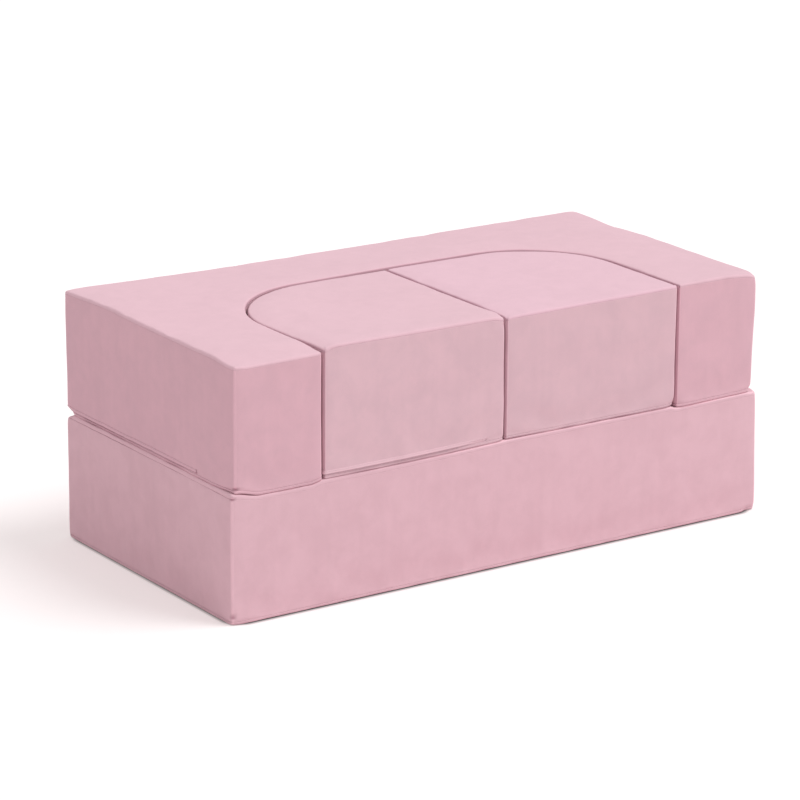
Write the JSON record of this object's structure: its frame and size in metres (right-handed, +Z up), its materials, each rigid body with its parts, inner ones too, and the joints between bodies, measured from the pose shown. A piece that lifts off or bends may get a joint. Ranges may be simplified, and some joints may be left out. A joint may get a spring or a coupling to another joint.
{
  "type": "modular foam play block set",
  "caption": "Low soft-play couch of nesting foam blocks in zipped suede covers: a slab, a U-shaped arch block on it, and two corner blocks in the arch; lines up as a balance beam.",
  "frame": {"origin": "middle of the base slab's underside, where it stands on the floor", "axes": "+X along the long side, -Y towards the front, where the arch's mouth opens, +Z up"},
  "size_m": [1, 0.5, 0.405],
  "materials": {
    "microsuede": "matte",
    "foam": "matte",
    "zip_tape": "matte",
    "zip_coil": "satin",
    "slider_metal": "satin"
  },
  "bodies": {
    "base": {"base_foam_core": "foam", "base_top_panel": "microsuede", "base_side_band": "microsuede", "base_bottom_panel": "microsuede", "base_zip_flap": "microsuede", "base_zip_tape_lower": "zip_tape", "base_zip_tape_upper": "zip_tape", "base_zip_coil_lower": "zip_coil", "base_zip_coil_upper": "zip_coil"},
    "arch": {"arch_foam_core": "foam", "arch_top_panel": "microsuede", "arch_side_band": "microsuede", "arch_bottom_panel": "microsuede", "arch_zip_flap": "microsuede", "arch_zip_tape_lower": "zip_tape", "arch_zip_tape_upper": "zip_tape", "arch_zip_coil_lower": "zip_coil", "arch_zip_coil_upper": "zip_coil"},
    "left_corner": {"left_corner_foam_core": "foam", "left_corner_top_panel": "microsuede", "left_corner_side_band": "microsuede", "left_corner_bottom_panel": "microsuede", "left_corner_zip_flap": "microsuede", "left_corner_zip_tape_lower": "zip_tape", "left_corner_zip_tape_upper": "zip_tape", "left_corner_zip_coil_lower": "zip_coil", "left_corner_zip_coil_upper": "zip_coil"},
    "right_corner": {"right_corner_foam_core": "foam", "right_corner_top_panel": "microsuede", "right_corner_side_band": "microsuede", "right_corner_bottom_panel": "microsuede", "right_corner_zip_flap": "microsuede", "right_corner_zip_tape_lower": "zip_tape", "right_corner_zip_tape_upper": "zip_tape", "right_corner_zip_coil_lower": "zip_coil", "right_corner_zip_coil_upper": "zip_coil"},
    "base_slider": {"base_zip_slider": "slider_metal"},
    "arch_slider": {"arch_zip_slider": "slider_metal"},
    "left_corner_slider": {"left_corner_zip_slider": "slider_metal"},
    "right_corner_slider": {"right_corner_zip_slider": "slider_metal"}
  },
  "joints": [
    {"name": "arch_lift", "type": "slide", "parent": "base", "child": "arch", "axis": [0, 0, 1], "range_m": [0, 0.25]},
    {"name": "left_corner_draw", "type": "slide", "parent": "base", "child": "left_corner", "axis": [0, -1, 0], "range_m": [0, 0.4]},
    {"name": "right_corner_draw", "type": "slide", "parent": "base", "child": "right_corner", "axis": [0, -1, 0], "range_m": [0, 0.4]},
    {"name": "base_zip_run", "type": "slide", "parent": "base", "child": "base_slider", "axis": [1, 0, 0], "range_m": [0, 0.88]},
    {"name": "arch_zip_run", "type": "slide", "parent": "arch", "child": "arch_slider", "axis": [-1, 0, 0], "range_m": [0, 0.88]},
    {"name": "left_corner_zip_run", "type": "slide", "parent": "left_corner", "child": "left_corner_slider", "axis": [-1, 0, 0], "range_m": [0, 0.26]},
    {"name": "right_corner_zip_run", "type": "slide", "parent": "right_corner", "child": "right_corner_slider", "axis": [0, 1, 0], "range_m": [0, 0.26]}
  ]
}
